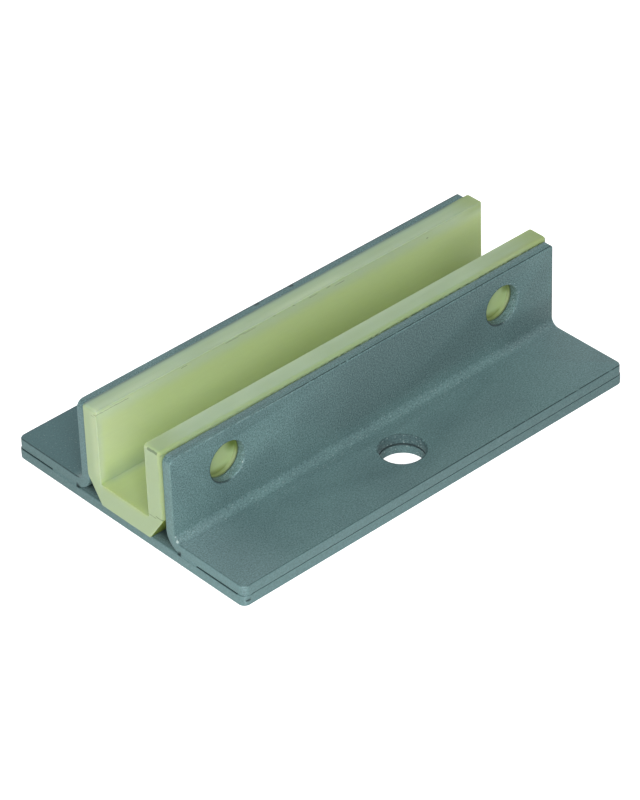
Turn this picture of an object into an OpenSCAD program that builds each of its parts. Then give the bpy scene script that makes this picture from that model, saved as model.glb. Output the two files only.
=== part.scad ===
// Sliding guide shoe for an elevator: two folded sheet steel angles, welded to a sheet steel base
// plate, hold a one-piece plastic liner, whose channel runs along the blade of the guide rail.
// Frame: X along the rail, Y across it, Z away from the mounting surface.
// The origin is the centre of the base plate's underside.

/* [Sheet steel] */
// Thickness of the base plate and of both angle brackets
sheet_t = 2.7; // [1.5:0.1:4]
// Rounding of the cut edges of the sheet
edge_r = 0.3; // [0.1:0.05:0.5]
// Easing of the rims of the punched holes
rim_ease = 0.25; // [0.1:0.05:0.4]

/* [Base plate] */
// Length of the base plate along the rail
base_l = 120; // [110:0.5:200]
// Width of the base plate across the rail
base_w = 78.5; // [75:0.5:120]
// Plan radius of the outer corners of base plate and flanges
corner_r = 1.8; // [1:0.1:6]

/* [Angle brackets] */
// Distance that the bracket ends stand back from the ends of the base plate
bracket_inset = 0.25; // [0:0.05:2]
// Height of the bracket walls above the base plate
wall_h = 25.2; // [24:0.1:45]
// Inside radius of the fold between flange and wall
fold_r = 2.2; // [1:0.1:3.5]
// Radius of the top corners of the walls at the -X end
wall_corner_r = 2; // [0.6:0.1:5]
// Radius of the top corners of the walls at the +X end
wall_tip_r = 0.6; // [0.6:0.1:5]

/* [Welds] */
// Length of each weld, from the fold outwards along the seam at the end of a flange
weld_l = 7; // [3:0.5:12]

/* [Holes] */
// Diameter of the mounting holes through flange and base plate
mount_hole_d = 11; // [6:0.5:13]
// Distance between the two mounting holes across the rail
mount_pitch = 53.5; // [52:0.5:58]
// Diameter of the round holes in the bracket walls
wall_hole_d = 10.3; // [4:0.1:11]
// Distance of the wall holes from the ends of the bracket
wall_hole_end = 16.75; // [10:0.25:40]
// Height of the wall holes above the base plate
wall_hole_z = 16.3; // [15.5:0.1:17.5]

/* [Liner] */
// Distance that the liner stands out past each end of the base plate
liner_overhang = 0.4; // [0:0.1:3]
// Outer width of the liner, which the bracket walls clasp
liner_w = 26.6; // [25:0.1:29]
// Distance that the liner stands up past the bracket walls
liner_rise = 1; // [0:0.1:3]
// Width of the channel for the rail blade
channel_w = 16.4; // [9:0.1:18]
// Thickness of the liner under the channel
floor_t = 6; // [3:0.1:9]
// Width of the chamfer along each lower edge of the liner
chamfer_w = 5; // [2:0.1:7]
// Height of the chamfer along each lower edge of the liner
chamfer_h = 7.4; // [4:0.1:9]
// Rounding of the top edges and upright end edges of the liner walls
liner_edge_r = 0.9; // [0.2:0.1:1.5]
// Depth of the round recess in the liner behind each wall hole
recess_depth = 1.2; // [0.5:0.1:2]

/* [Hidden] */
$fn = 96;

steel_colour = [0.38, 0.47, 0.48];
liner_colour = [0.74, 0.79, 0.53];

bracket_l = base_l - 2 * bracket_inset;
wall_hole_x = bracket_l / 2 - wall_hole_end;
liner_l = base_l + 2 * liner_overhang;
liner_h = wall_h + liner_rise;
liner_half = liner_w / 2;
liner_wall = (liner_w - channel_w) / 2;
outer_fold_r = fold_r + sheet_t;
fold_y = liner_half + outer_fold_r;
flange_depth = base_w / 2 - fold_y;
wall_depth = wall_h - outer_fold_r;

// Section of a bar that starts at x = 0 and ends rounded at x = reach
module rounded_end(reach, thick, r) {
    square([reach - r, thick]);
    translate([reach - r, r])
        square([r, thick - 2 * r]);
    for (flip = [0, 1])
        translate([reach - r, flip * thick])
            mirror([0, flip])
                translate([0, r])
                    intersection() {
                        circle(r = r);
                        translate([0, -r])
                            square(r);
                    }
}

// Section of the sheet across one of its cut edges
module sheet_section(reach) {
    rounded_end(reach, sheet_t, edge_r);
}

// Half of a flap, from x = 0 to x = reach
module half_flap(reach, depth, r) {
    translate([0, depth - r, 0])
        rotate([90, 0, 0])
            linear_extrude(depth - r)
                sheet_section(reach);
    translate([0, depth - r, 0])
        rotate([90, 0, 90])
            linear_extrude(reach - r)
                sheet_section(r);
    translate([reach - r, depth - r, 0])
        rotate_extrude(angle = 90)
            sheet_section(r);
}

// Flat sheet from y = 0 to y = depth, plain at y = 0, with a rounded corner at each end of the far side
module flap(length, depth, minus_r, plus_r) {
    half_flap(length / 2, depth, plus_r);
    mirror([1, 0, 0])
        half_flap(length / 2, depth, minus_r);
}

// Quarter turn of sheet between flange and wall, about the axis of the fold
module fold() {
    translate([0, fold_y, sheet_t + outer_fold_r])
        rotate([0, 90, 0])
            rotate([0, 0, -90])
                rotate_extrude(angle = 90)
                    translate([fold_r, 0])
                        for (flip = [0, 1])
                            mirror([0, flip])
                                mirror([1, -1])
                                    sheet_section(bracket_l / 2);
}

// Tool for one hole through the sheet, with both rims eased
module punch(d) {
    r = d / 2;
    rotate_extrude()
        polygon([
            [0, -rim_ease],
            [r + 2 * rim_ease, -rim_ease],
            [r, rim_ease],
            [r, sheet_t - rim_ease],
            [r + 2 * rim_ease, sheet_t + rim_ease],
            [0, sheet_t + rim_ease]
        ]);
}

// Places its child at each hole of a wall, on the face of the liner, pointing away from the rail
module at_wall_holes() {
    for (side = [-1, 1])
        translate([side * wall_hole_x, liner_half, sheet_t + wall_hole_z])
            rotate([-90, 0, 0])
                children();
}

// Folded angle on the +Y side: flange on the base plate, wall beside the liner
module bracket() {
    difference() {
        union() {
            translate([0, fold_y, sheet_t])
                flap(bracket_l, flange_depth, corner_r, corner_r);
            fold();
            translate([0, liner_half + sheet_t, sheet_t + outer_fold_r])
                rotate([90, 0, 0])
                    flap(bracket_l, wall_depth, wall_corner_r, wall_tip_r);
        }
        translate([0, mount_pitch / 2, sheet_t])
            punch(mount_hole_d);
        at_wall_holes()
            punch(wall_hole_d);
    }
}

// Section of a weld: the fill of the groove that two rounded edges leave at the end of a seam
module weld_section() {
    root = (bracket_l - edge_r) / 2;
    difference() {
        polygon([
            [root, sheet_t - edge_r],
            [base_l / 2, sheet_t - edge_r],
            [bracket_l / 2, sheet_t + edge_r],
            [root, sheet_t + edge_r]
        ]);
        sheet_section(base_l / 2);
        translate([0, sheet_t])
            sheet_section(bracket_l / 2);
    }
}

// Welds at both ends of the bracket on the +Y side
module bracket_welds() {
    for (flip = [0, 1])
        mirror([flip, 0, 0])
            translate([0, fold_y + weld_l, 0])
                rotate([90, 0, 0])
                    linear_extrude(weld_l)
                        weld_section();
}

// Section of the liner: a channel between two walls on a floor with chamfered lower edges
module liner_section() {
    foot = liner_half - chamfer_w;
    shoulder = liner_h - 2 * liner_edge_r;
    difference() {
        polygon([
            [-foot, 0],
            [foot, 0],
            [liner_half, chamfer_h],
            [liner_half, shoulder],
            [-liner_half, shoulder],
            [-liner_half, chamfer_h]
        ]);
        translate([-channel_w / 2, floor_t])
            square([channel_w, liner_h]);
    }
    for (flip = [0, 1])
        mirror([flip, 0])
            translate([liner_half, shoulder])
                rotate(90)
                    rounded_end(2 * liner_edge_r, liner_wall, liner_edge_r);
}

// Liner along the rail, with plain ends
module liner_bar() {
    translate([-liner_l / 2, 0, 0])
        rotate([90, 0, 90])
            linear_extrude(liner_l)
                liner_section();
}

// Room that the liner may fill with its upright end edges rounded: two walls on a plain floor
module liner_plan() {
    linear_extrude(liner_h)
        for (turn = [0, 180])
            rotate(turn)
                for (flip = [0, 1])
                    mirror([flip, 0])
                        translate([0, channel_w / 2])
                            rounded_end(liner_l / 2, liner_wall, liner_edge_r);
    linear_extrude(floor_t)
        square([liner_l, liner_w], center = true);
}

// Room that the liner may fill with the top edges of its ends rounded
module liner_side() {
    translate([0, liner_half, 0])
        rotate([90, 0, 0])
            linear_extrude(liner_w)
                translate([-liner_l / 2, 0])
                    rotate(90)
                        mirror([0, 1])
                            rounded_end(liner_h, liner_l, liner_edge_r);
}

module base_plate() {
    color(steel_colour)
        difference() {
            for (flip = [0, 1])
                mirror([0, flip, 0])
                    flap(base_l, base_w / 2, corner_r, corner_r);
            for (side = [-1, 1])
                translate([0, side * mount_pitch / 2, 0])
                    punch(mount_hole_d);
        }
}

module bracket_left() {
    color(steel_colour)
        bracket();
}

module bracket_right() {
    color(steel_colour)
        mirror([0, 1, 0])
            bracket();
}

module seam_welds() {
    color(steel_colour)
        for (turn = [0, 180])
            rotate(turn)
                bracket_welds();
}

module guide_liner() {
    color(liner_colour)
        difference() {
            translate([0, 0, sheet_t])
                intersection() {
                    liner_bar();
                    liner_plan();
                    liner_side();
                }
            for (turn = [0, 180])
                rotate(turn)
                    at_wall_holes()
                        translate([0, 0, -recess_depth])
                            cylinder(d = wall_hole_d, h = 2 * recess_depth);
        }
}

base_plate();
bracket_left();
bracket_right();
seam_welds();
guide_liner();
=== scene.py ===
"""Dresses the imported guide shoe: painted sheet steel, a translucent plastic liner and a white studio."""

import logging
import math
from collections.abc import Callable, Iterable
from dataclasses import dataclass
from enum import Enum

import bmesh
import bpy
from mathutils import Matrix, Vector


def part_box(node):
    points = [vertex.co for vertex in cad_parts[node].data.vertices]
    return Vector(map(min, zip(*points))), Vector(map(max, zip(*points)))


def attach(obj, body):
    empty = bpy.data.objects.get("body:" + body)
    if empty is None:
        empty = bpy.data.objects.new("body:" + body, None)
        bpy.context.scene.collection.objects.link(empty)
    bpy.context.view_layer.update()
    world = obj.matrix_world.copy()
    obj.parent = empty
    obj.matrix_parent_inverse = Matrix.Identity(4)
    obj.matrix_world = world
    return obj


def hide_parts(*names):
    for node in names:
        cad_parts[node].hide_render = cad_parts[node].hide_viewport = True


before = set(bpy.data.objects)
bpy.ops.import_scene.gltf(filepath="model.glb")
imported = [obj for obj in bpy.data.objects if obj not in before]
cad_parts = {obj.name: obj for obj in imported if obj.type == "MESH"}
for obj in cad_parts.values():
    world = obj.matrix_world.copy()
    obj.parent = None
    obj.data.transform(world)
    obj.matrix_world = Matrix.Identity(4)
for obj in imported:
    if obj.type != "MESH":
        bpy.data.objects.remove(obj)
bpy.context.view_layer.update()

MM = 0.001
SAME_PLACE = 0.01 * MM
MERGE_DISTANCE = 0.001 * MM
ROD_SIDES = 96
CORNER_STEPS = 10
EDGE_STEPS = 4
SHARP_ANGLE = math.radians(40)
SMOOTH_ANGLE = math.radians(35)
FACING = 0.9
ALONG = Vector((1, 0, 0))
ACROSS = Vector((0, 1, 0))
PIXEL_SIZE = (640, 800)
BODY = "root"
PLATE_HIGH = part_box("base_plate")[1]
ANGLE_LOW, ANGLE_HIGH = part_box("bracket_left")
LINER_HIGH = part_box("guide_liner")[1]
log = logging.getLogger("guide_shoe")

Socket = bpy.types.NodeSocket
Colour = tuple[float, float, float, float]
Place = tuple[float, float, float]
Span = tuple[float, float]
EdgeTest = Callable[[Vector, Vector], bool]
FaceTest = Callable[[Vector, Vector], bool]


class Slot(Enum):
    """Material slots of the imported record."""

    STEEL = "painted_steel"
    LINER = "liner_plastic"


class Side(Enum):
    """Side of the rail that an angle bracket stands on, seen along the rail."""

    LEFT = "bracket_left"
    RIGHT = "bracket_right"


class Axis(Enum):
    """Direction of a hole, as the turn that lays an upright cylinder along it."""

    Y = (math.pi / 2, 0.0, 0.0)
    Z = (0.0, 0.0, 0.0)


@dataclass(frozen=True)
class Layout:
    """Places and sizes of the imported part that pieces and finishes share."""

    half_length: float = PLATE_HIGH.x
    half_width: float = PLATE_HIGH.y
    sheet: float = PLATE_HIGH.z
    bracket_end: float = ANGLE_HIGH.x
    wall_face: float = ANGLE_LOW.y + sheet
    wall_top: float = ANGLE_HIGH.z
    fold_radius: float = 2.2 * MM
    fold_y: float = wall_face + fold_radius
    fold_z: float = 2 * sheet + fold_radius
    mount_y: float = 26.75 * MM
    mount_radius: float = 5.5 * MM
    wall_hole_x: float = 43 * MM
    wall_hole_z: float = 19 * MM
    wall_hole_radius: float = 5.15 * MM
    channel_half: float = 8.2 * MM
    channel_floor: float = sheet + 6 * MM
    liner_face: float = LINER_HIGH.y
    liner_end: float = LINER_HIGH.x
    liner_top: float = LINER_HIGH.z


@dataclass(frozen=True)
class Mark:
    """Scuff or chip: a stroke or spot on a surface.

    Attributes:
        centre: Middle of the mark, in millimetres.
        half: Half of its size along each axis, in millimetres.
        width: Distance over which it fades out, in millimetres.
    """

    centre: Place
    half: Place
    width: float


LAYOUT = Layout()


def linear(red: int, green: int, blue: int) -> Colour:
    """Turns a display colour into the linear colour that shaders take.

    Args:
        red: Red from 0 to 255.
        green: Green from 0 to 255.
        blue: Blue from 0 to 255.

    Returns:
        The linear colour with full opacity.
    """
    shares = [value / 255 for value in (red, green, blue)]
    steps = [s / 12.92 if s <= 0.04045 else ((s + 0.055) / 1.055) ** 2.4 for s in shares]
    return (steps[0], steps[1], steps[2], 1.0)


def heading(azimuth: float, elevation: float) -> Vector:
    """Gives the direction from the object to a viewer or lamp.

    Args:
        azimuth: Turn about the upright axis in degrees, 0 for the front.
        elevation: Rise above the floor in degrees.

    Returns:
        The direction.
    """
    a, e = math.radians(azimuth), math.radians(elevation)
    return Vector((math.sin(a) * math.cos(e), -math.cos(a) * math.cos(e), math.sin(e)))


def near(value: float, target: float) -> bool:
    """Says whether two places are the same."""
    return abs(value - target) < SAME_PLACE


def no_edge(start: Vector, stop: Vector) -> bool:
    """Picks no edge."""
    return False


class Bench:
    """Modelling steps that every sub-assembly shapes its meshes with."""

    @staticmethod
    def clear() -> None:
        """Deselects every object."""
        bpy.ops.object.select_all(action="DESELECT")

    @staticmethod
    def take(piece: bpy.types.Object) -> None:
        """Makes one object the only selected and active one."""
        Bench.clear()
        piece.select_set(True)
        bpy.context.view_layer.objects.active = piece

    @staticmethod
    def block(name: str, low: Vector, high: Vector) -> bpy.types.Object:
        """Adds a rectangular block.

        Args:
            name: Name of the new object.
            low: Lowest corner.
            high: Highest corner.

        Returns:
            The block, with its place in its mesh.
        """
        Bench.clear()
        bpy.ops.mesh.primitive_cube_add(size=1, location=(low + high) / 2)
        piece = bpy.context.object
        piece.name = name
        piece.scale = high - low
        bpy.ops.object.transform_apply(location=True, rotation=True, scale=True)
        return piece

    @staticmethod
    def rod(centre: Vector, radius: float, length: float, axis: Axis) -> bpy.types.Object:
        """Adds a round rod that cuts a hole.

        Args:
            centre: Middle of the rod.
            radius: Radius of the rod.
            length: Length of the rod.
            axis: Direction of the rod.

        Returns:
            The rod.
        """
        Bench.clear()
        bpy.ops.mesh.primitive_cylinder_add(
            vertices=ROD_SIDES, radius=radius, depth=length, location=centre, rotation=axis.value
        )
        return bpy.context.object

    @staticmethod
    def edit(piece: bpy.types.Object, mode: str) -> bmesh.types.BMesh:
        """Opens a piece in edit mode with nothing selected.

        Args:
            piece: Piece to open.
            mode: Selection mode, EDGE or FACE.

        Returns:
            The piece's edit mesh.
        """
        Bench.take(piece)
        bpy.ops.object.mode_set(mode="EDIT")
        bpy.ops.mesh.select_mode(type=mode)
        bpy.ops.mesh.select_all(action="DESELECT")
        return bmesh.from_edit_mesh(piece.data)

    @staticmethod
    def close() -> None:
        """Goes back to object mode."""
        bpy.ops.object.mode_set(mode="OBJECT")

    @staticmethod
    def pick_edges(piece: bpy.types.Object, test: EdgeTest) -> None:
        """Opens a piece and selects its edges by the places of their ends.

        Args:
            piece: Piece to open.
            test: Says whether the edge between two points is wanted.
        """
        mesh = Bench.edit(piece, "EDGE")
        for edge in mesh.edges:
            edge.select_set(test(edge.verts[0].co, edge.verts[1].co))
        bmesh.update_edit_mesh(piece.data)

    @staticmethod
    def pick_faces(piece: bpy.types.Object, test: FaceTest) -> None:
        """Opens a piece and selects its faces by centre and normal.

        Args:
            piece: Piece to open.
            test: Says whether the face with a centre and a normal is wanted.
        """
        mesh = Bench.edit(piece, "FACE")
        mesh.normal_update()
        for face in mesh.faces:
            face.select_set(test(face.calc_center_median(), face.normal))
        bmesh.update_edit_mesh(piece.data)

    @staticmethod
    def round_edges(piece: bpy.types.Object, test: EdgeTest, radius: float, steps: int) -> None:
        """Rounds the edges that a test picks.

        Args:
            piece: Piece to shape.
            test: Says which edges are rounded.
            radius: Radius of the rounding.
            steps: Number of faces across the rounding.
        """
        Bench.pick_edges(piece, test)
        bpy.ops.mesh.bevel(offset=radius, segments=steps, profile=0.5, affect="EDGES")
        Bench.close()

    @staticmethod
    def split(piece: bpy.types.Object, point: Vector, normal: Vector, test: FaceTest) -> None:
        """Splits the faces that a test picks along a plane.

        Args:
            piece: Piece to shape.
            point: Point of the plane.
            normal: Direction across the plane.
            test: Says which faces are split.
        """
        Bench.pick_faces(piece, test)
        bpy.ops.mesh.bisect(plane_co=point, plane_no=normal, threshold=MERGE_DISTANCE)
        Bench.close()

    @staticmethod
    def trim(piece: bpy.types.Object, point: Vector, outward: Vector) -> None:
        """Cuts off all that lies beyond a plane and closes the cut.

        Args:
            piece: Piece to shape.
            point: Point of the plane.
            outward: Direction across the plane, to the side that is taken away.
        """
        Bench.pick_faces(piece, lambda centre, normal: True)
        bpy.ops.mesh.bisect(
            plane_co=point,
            plane_no=outward.normalized(),
            use_fill=True,
            clear_outer=True,
            threshold=MERGE_DISTANCE,
        )
        Bench.close()

    @staticmethod
    def cut(piece: bpy.types.Object, tool: bpy.types.Object) -> None:
        """Cuts a tool's shape out of a piece and removes the tool.

        Args:
            piece: Piece that is cut.
            tool: Shape that is taken away.
        """
        Bench.take(piece)
        bpy.ops.object.modifier_add(type="BOOLEAN")
        modifier = piece.modifiers[-1]
        modifier.operation = "DIFFERENCE"
        modifier.solver = "EXACT"
        modifier.object = tool
        bpy.ops.object.modifier_apply(modifier=modifier.name)
        bpy.data.objects.remove(tool)

    @staticmethod
    def ease(
        piece: bpy.types.Object,
        radius: float,
        steps: int = EDGE_STEPS,
        angle: float = SHARP_ANGLE,
        keep: EdgeTest = no_edge,
    ) -> None:
        """Rounds every edge that is sharper than an angle.

        Args:
            piece: Piece to shape.
            radius: Radius of the rounding.
            steps: Number of faces across the rounding.
            angle: Smallest angle between two faces that is rounded.
            keep: Says which sharp edges stay as they are.
        """
        mesh = Bench.edit(piece, "EDGE")
        for edge in mesh.edges:
            ends = (edge.verts[0].co, edge.verts[1].co)
            edge.select_set(edge.calc_face_angle(0.0) > angle and not keep(*ends))
        bmesh.update_edit_mesh(piece.data)
        bpy.ops.mesh.bevel(offset=radius, segments=steps, profile=0.5, affect="EDGES", clamp_overlap=False)
        Bench.close()

    @staticmethod
    def finish(piece: bpy.types.Object, smooth_angle: float = SMOOTH_ANGLE) -> None:
        """Merges doubles, points the faces outwards and shades the piece.

        Args:
            piece: Piece to finish.
            smooth_angle: Largest angle between two faces that is shaded smooth.
        """
        Bench.edit(piece, "FACE")
        bpy.ops.mesh.select_all(action="SELECT")
        bpy.ops.mesh.remove_doubles(threshold=MERGE_DISTANCE)
        bpy.ops.mesh.normals_make_consistent(inside=False)
        Bench.close()
        bpy.ops.object.shade_smooth_by_angle(angle=smooth_angle)
        bpy.ops.object.modifier_add(type="WEIGHTED_NORMAL")
        modifier = piece.modifiers[-1]
        modifier.mode = "FACE_AREA"
        modifier.keep_sharp = True
        bpy.ops.object.modifier_apply(modifier=modifier.name)

    @staticmethod
    def mirrored_copy(piece: bpy.types.Object, name: str) -> bpy.types.Object:
        """Copies a piece to the other side of the rail, as its mirror image.

        Args:
            piece: Piece to copy.
            name: Name of the copy.

        Returns:
            The copy, with a mesh of its own.
        """
        Bench.take(piece)
        bpy.ops.object.duplicate(linked=False)
        copy = bpy.context.object
        copy.name = name
        copy.data.transform(Matrix.Scale(-1, 4, (0, 1, 0)))
        copy.data.flip_normals()
        return copy

    @staticmethod
    def join(pieces: list[bpy.types.Object], name: str) -> bpy.types.Object:
        """Joins pieces to one.

        Args:
            pieces: Pieces to join.
            name: Name of the result.

        Returns:
            The joined piece.
        """
        Bench.take(pieces[0])
        for piece in pieces[1:]:
            piece.select_set(True)
        bpy.ops.object.join()
        pieces[0].name = name
        return pieces[0]


class Graph:
    """Short hand for the node tree of one material or world."""

    def __init__(self, owner: bpy.types.ID) -> None:
        """Empties the owner's node tree."""
        owner.use_nodes = True
        self.tree = owner.node_tree
        self.tree.nodes.clear()

    def feed(self, sockets: Iterable[Socket], values: Iterable[object]) -> None:
        """Links sockets to other sockets or sets them to plain values.

        Args:
            sockets: Sockets to feed.
            values: Socket or plain value for each of them.
        """
        for socket, value in zip(sockets, values):
            if isinstance(value, Socket):
                self.tree.links.new(value, socket)
            else:
                socket.default_value = value

    def add(self, kind: str, **settings: object) -> bpy.types.Node:
        """Adds a node and sets its properties and sockets.

        Args:
            kind: Blender's name of the kind of node.
            settings: Properties by name, or sockets by name with spaces as underscores.

        Returns:
            The new node.
        """
        node = self.tree.nodes.new(kind)
        properties = [name for name in settings if hasattr(node, name)]
        for name in properties:
            setattr(node, name, settings[name])
        for name, value in settings.items():
            if name not in properties:
                self.feed([node.inputs[name.replace("_", " ")]], [value])
        return node

    def math(self, step: str, first: Socket | float, second: Socket | float = 0.0) -> Socket:
        """Works out one step of arithmetic on two values or sockets."""
        node = self.add("ShaderNodeMath", operation=step)
        self.feed(node.inputs, (first, second))
        return node.outputs["Value"]

    def vector(self, step: str, first: Socket, second: Socket | Place = (0.0, 0.0, 0.0)) -> Socket:
        """Works out one step of arithmetic on two places, or the length of the first."""
        node = self.add("ShaderNodeVectorMath", operation=step)
        self.feed(node.inputs, (first, second))
        return node.outputs["Value" if step == "LENGTH" else "Vector"]

    def times(self, *factors: Socket | float) -> Socket:
        """Multiplies values or sockets, of which the first is a socket.

        Args:
            factors: Values or sockets.

        Returns:
            The product.
        """
        product = factors[0]
        for factor in factors[1:]:
            product = self.math("MULTIPLY", product, factor)
        return product

    def most(self, *values: Socket | float) -> Socket:
        """Gives the largest of several values or sockets, of which the first is a socket.

        Args:
            values: Values or sockets.

        Returns:
            The largest one.
        """
        largest = values[0]
        for value in values[1:]:
            largest = self.math("MAXIMUM", largest, value)
        return largest

    def gap(self, value: Socket, target: float) -> Socket:
        """Gives the distance between a value and a target."""
        return self.math("ABSOLUTE", self.math("SUBTRACT", value, target))

    def reach(self, first: Socket, second: Socket, target: tuple[float, float]) -> Socket:
        """Gives the distance of two coordinates from a point of their plane.

        Args:
            first: First coordinate.
            second: Second coordinate.
            target: The point.

        Returns:
            The distance.
        """
        flat = self.add("ShaderNodeCombineXYZ", X=first, Y=second).outputs["Vector"]
        return self.vector("LENGTH", self.vector("SUBTRACT", flat, (*target, 0.0)))

    def ramp(self, value: Socket, start: float, end: float) -> Socket:
        """Rises smoothly from 0 to 1 while a value goes from start to end.

        Args:
            value: The value.
            start: Value at which the ramp is 0.
            end: Value at which the ramp is 1, which may be the smaller one.

        Returns:
            The ramp.
        """
        node = self.add("ShaderNodeMapRange", interpolation_type="SMOOTHSTEP", Value=value)
        self.feed([node.inputs["From Min"], node.inputs["From Max"]], [start, end])
        return node.outputs["Result"]

    def span(self, value: Socket, low: float, high: float) -> Socket:
        """Maps a pattern from 0 and 1 to two values."""
        node = self.add("ShaderNodeMapRange", Value=value)
        self.feed([node.inputs["To Min"], node.inputs["To Max"]], [low, high])
        return node.outputs["Result"]

    def stretched(self, place: Socket, scale: Place) -> Socket:
        """Scales a place differently along each axis."""
        return self.add("ShaderNodeMapping", Vector=place, Scale=scale).outputs["Vector"]

    def noise(self, place: Socket, grain: float, detail: float) -> Socket:
        """Adds a cloudy pattern.

        Args:
            place: Place that the pattern is read at.
            grain: Size of the pattern's blotches, in metres.
            detail: Number of finer layers.

        Returns:
            The pattern, from 0 to 1.
        """
        node = self.add("ShaderNodeTexNoise", Vector=place, Scale=1 / grain, Detail=detail)
        return node.outputs["Fac"]

    def shaken(self, place: Socket, grain: float, depth: float) -> Socket:
        """Moves a place about at random.

        Args:
            place: The place.
            grain: Size of the pattern that moves it, in metres.
            depth: Largest distance that it moves, in metres.

        Returns:
            The moved place.
        """
        node = self.add("ShaderNodeTexNoise", Vector=place, Scale=1 / grain, Detail=2.0)
        shift = self.vector("SUBTRACT", node.outputs["Color"], (0.5, 0.5, 0.5))
        return self.vector("ADD", place, self.vector("MULTIPLY", shift, (2 * depth,) * 3))

    def specks(self, place: Socket, cell: float, radius: float, share: float) -> Socket:
        """Strews specks at random.

        Args:
            place: Place that the pattern is read at.
            cell: Size of the room around each speck, in metres.
            radius: Radius of a speck as a share of its room.
            share: Share of the rooms that hold a speck.

        Returns:
            The specks, from 0 to 1.
        """
        node = self.add("ShaderNodeTexVoronoi", Vector=place, Scale=1 / cell)
        chance = self.add("ShaderNodeSeparateColor", Color=node.outputs["Color"]).outputs["Red"]
        spot = self.ramp(node.outputs["Distance"], radius, 0.4 * radius)
        return self.times(spot, self.ramp(chance, 1 - share, 1.0))

    def marks(self, place: Socket, marks: tuple[Mark, ...]) -> Socket:
        """Draws scuffs and chips.

        Args:
            place: Place on the piece.
            marks: The marks.

        Returns:
            1 on a mark, 0 elsewhere.
        """
        shares = []
        for mark in marks:
            centre, half = (tuple(v * MM for v in part) for part in (mark.centre, mark.half))
            away = self.vector("ABSOLUTE", self.vector("SUBTRACT", place, centre))
            past = self.vector("MAXIMUM", self.vector("SUBTRACT", away, half))
            distance = self.vector("LENGTH", past)
            shares.append(self.ramp(distance, mark.width * MM, 0.2 * mark.width * MM))
        return self.most(*shares)

    def blend(self, share: Socket, first: Socket | Colour, second: Socket | Colour) -> Socket:
        """Mixes two colours.

        Args:
            share: 0 for the first colour, 1 for the second.
            first: Colour or socket.
            second: Colour or socket.

        Returns:
            The mixed colour.
        """
        node = self.add("ShaderNodeMix", data_type="RGBA", blend_type="MIX")
        self.feed([node.inputs["Factor"], node.inputs[6], node.inputs[7]], [share, first, second])
        return node.outputs[2]

    def layers(self, colour: Socket | Colour, *covers: tuple[Socket, Socket | Colour]) -> Socket:
        """Lays colours over a first one, in order.

        Args:
            colour: The first colour.
            covers: Share and colour of each further one.

        Returns:
            The mixed colour.
        """
        for share, cover in covers:
            colour = self.blend(share, colour, cover)
        return colour

    def lit(self, colour: Socket, factor: Socket) -> Socket:
        """Makes a colour brighter or darker by a factor."""
        return self.add("ShaderNodeHueSaturation", Color=colour, Value=factor).outputs["Color"]

    def bump(self, height: Socket, depth: float) -> Socket:
        """Turns a height pattern from 0 to 1 into a surface normal, for a depth in metres."""
        return self.add("ShaderNodeBump", Height=height, Distance=depth, Strength=1.0).outputs["Normal"]

    def surface(self, shader: Socket, kind: str) -> None:
        """Ends the tree in its output node."""
        output = self.add(kind)
        self.feed([output.inputs["Surface"]], [shader])


class PieceGraph(Graph):
    """Node tree of a piece's finish, with the place on the piece that steers it."""

    def __init__(self, owner: bpy.types.Material) -> None:
        """Reads the place in the piece's own coordinates.

        Args:
            owner: Material of the finish.
        """
        super().__init__(owner)
        self.place = self.add("ShaderNodeTexCoord").outputs["Object"]
        parts = self.add("ShaderNodeSeparateXYZ", Vector=self.place).outputs
        self.x, self.y, self.z = parts["X"], parts["Y"], parts["Z"]
        self.end = self.math("ABSOLUTE", self.x)
        self.side = self.math("ABSOLUTE", self.y)

    def rise(self, value: Socket, start: float, end: float, base: float = 0.0) -> Socket:
        """Rises smoothly from 0 to 1 while a coordinate or distance goes from start to end.

        Args:
            value: The coordinate or distance.
            start: Millimetres from the base to where it is 0.
            end: Millimetres from the base to where it is 1, which may be the lower place.
            base: Place that both are measured from, in metres.

        Returns:
            The ramp.
        """
        return self.ramp(value, base + start * MM, base + end * MM)

    def streaks(self, squeeze: float, grain: float, detail: float) -> Socket:
        """Adds a cloudy pattern that is squeezed by a factor, and so drawn out, along the rail."""
        return self.noise(self.stretched(self.place, (squeeze, 1.0, 1.0)), grain, detail)

    def from_fold(self) -> Socket:
        """Gives the distance from the axis of the nearer fold."""
        return self.reach(self.side, self.z, (LAYOUT.fold_y, LAYOUT.fold_z))

    def from_mount(self) -> Socket:
        """Gives the distance from the axis of the nearer mounting hole."""
        return self.reach(self.x, self.side, (0.0, LAYOUT.mount_y))

    def from_wall_hole(self) -> Socket:
        """Gives the distance from the axis of the nearer wall hole."""
        return self.reach(self.end, self.z, (LAYOUT.wall_hole_x, LAYOUT.wall_hole_z))


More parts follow.
